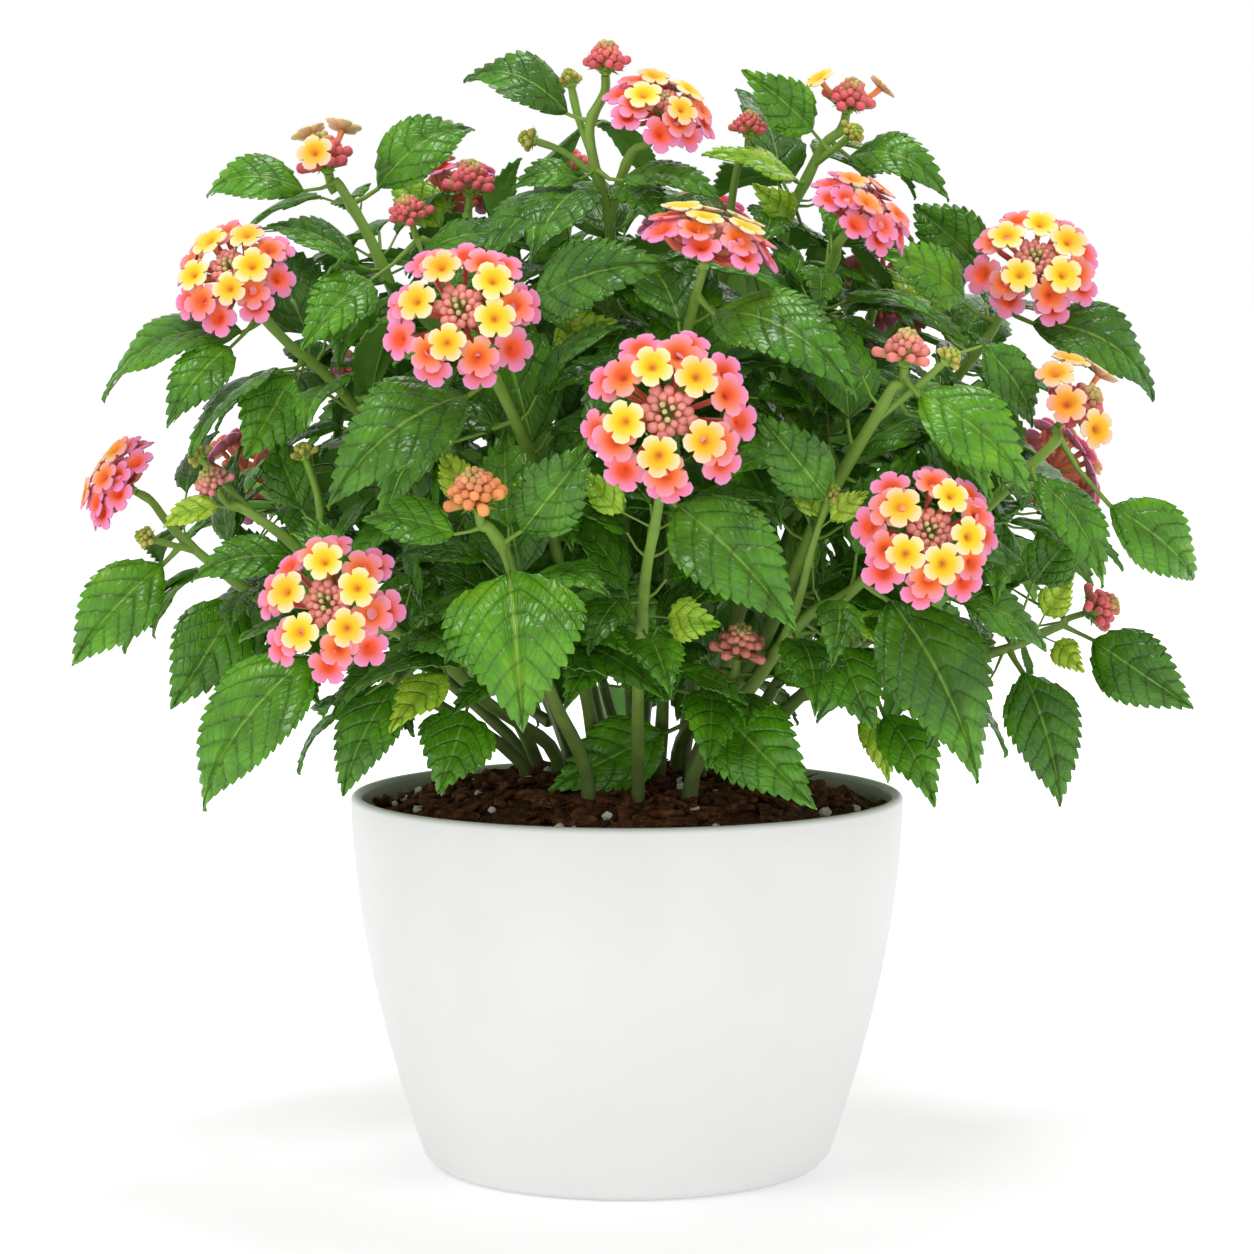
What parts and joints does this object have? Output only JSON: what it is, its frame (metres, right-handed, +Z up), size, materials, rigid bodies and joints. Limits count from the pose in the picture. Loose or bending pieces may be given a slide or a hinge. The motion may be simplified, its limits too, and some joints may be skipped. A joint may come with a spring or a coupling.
{
  "type": "potted lantana",
  "caption": "Bushy flowering lantana in a round tapering pot: toothed leaves on branching stems, domed flower heads of small lobed florets, and bud heads.",
  "frame": {"origin": "middle of the pot's flat base, on the surface that it stands on", "axes": "+Z up along the pot's axis, -Y towards the picture's viewer, +X to the viewer's right"},
  "size_m": [0.296, 0.2741, 0.3014],
  "materials": {
    "pot_white": "smooth moulded plastic, matte white",
    "potting_mix": "dark brown bark and coir fibres with white perlite grains",
    "leaf_green": "wrinkled, lightly waxy living leaves, deep green, on square light green stems",
    "petal": "soft petals, yellow in the inner ring, through orange to pink outside",
    "bud": "closed coral and crimson buds over green bracts"
  },
  "bodies": {
    "root": {"bud_head_crown": "bud", "bud_head_far_left": "bud", "bud_head_far_right": "bud", "bud_head_front": "bud", "bud_head_low": "bud", "bud_head_rear_crown": "bud", "bud_head_rear_edge": "bud", "bud_head_rear_left": "bud", "bud_head_rear_low": "bud", "bud_head_right": "bud", "bud_head_top": "bud", "bud_head_upper_left": "bud", "flower_head_centre": "petal", "flower_head_centre_left": "petal", "flower_head_crown": "petal", "flower_head_far_left": "petal", "flower_head_far_right": "petal", "flower_head_left": "petal", "flower_head_lower_left": "petal", "flower_head_lower_right": "petal", "flower_head_rear_centre": "petal", "flower_head_rear_left": "petal", "flower_head_rear_lower": "petal", "flower_head_rear_middle": "petal", "flower_head_rear_right": "petal", "flower_head_rear_side": "petal", "flower_head_rear_top": "petal", "flower_head_rear_upper": "petal", "flower_head_right": "petal", "flower_head_top_left": "petal", "flower_head_top_right": "petal", "flower_head_upper_centre": "petal", "flower_head_upper_right": "petal", "leafy_stem_centre": "leaf_green", "leafy_stem_centre_left": "leaf_green", "leafy_stem_crown": "leaf_green", "leafy_stem_far_left": "leaf_green", "leafy_stem_far_right": "leaf_green", "leafy_stem_front": "leaf_green", "leafy_stem_front_left": "leaf_green", "leafy_stem_front_right": "leaf_green", "leafy_stem_inner_right": "leaf_green", "leafy_stem_left": "leaf_green", "leafy_stem_low": "leaf_green", "leafy_stem_low_left": "leaf_green", "leafy_stem_low_right": "leaf_green", "leafy_stem_rear_centre": "leaf_green", "leafy_stem_rear_left": "leaf_green", "leafy_stem_rear_lower": "leaf_green", "leafy_stem_rear_middle": "leaf_green", "leafy_stem_rear_right": "leaf_green", "leafy_stem_rear_side": "leaf_green", "leafy_stem_rear_top": "leaf_green", "leafy_stem_rear_upper": "leaf_green", "leafy_stem_right": "leaf_green", "leafy_stem_upper_left": "leaf_green", "leafy_stem_upper_right": "leaf_green", "pot": "pot_white", "soil": "potting_mix"}
  },
  "joints": []
}
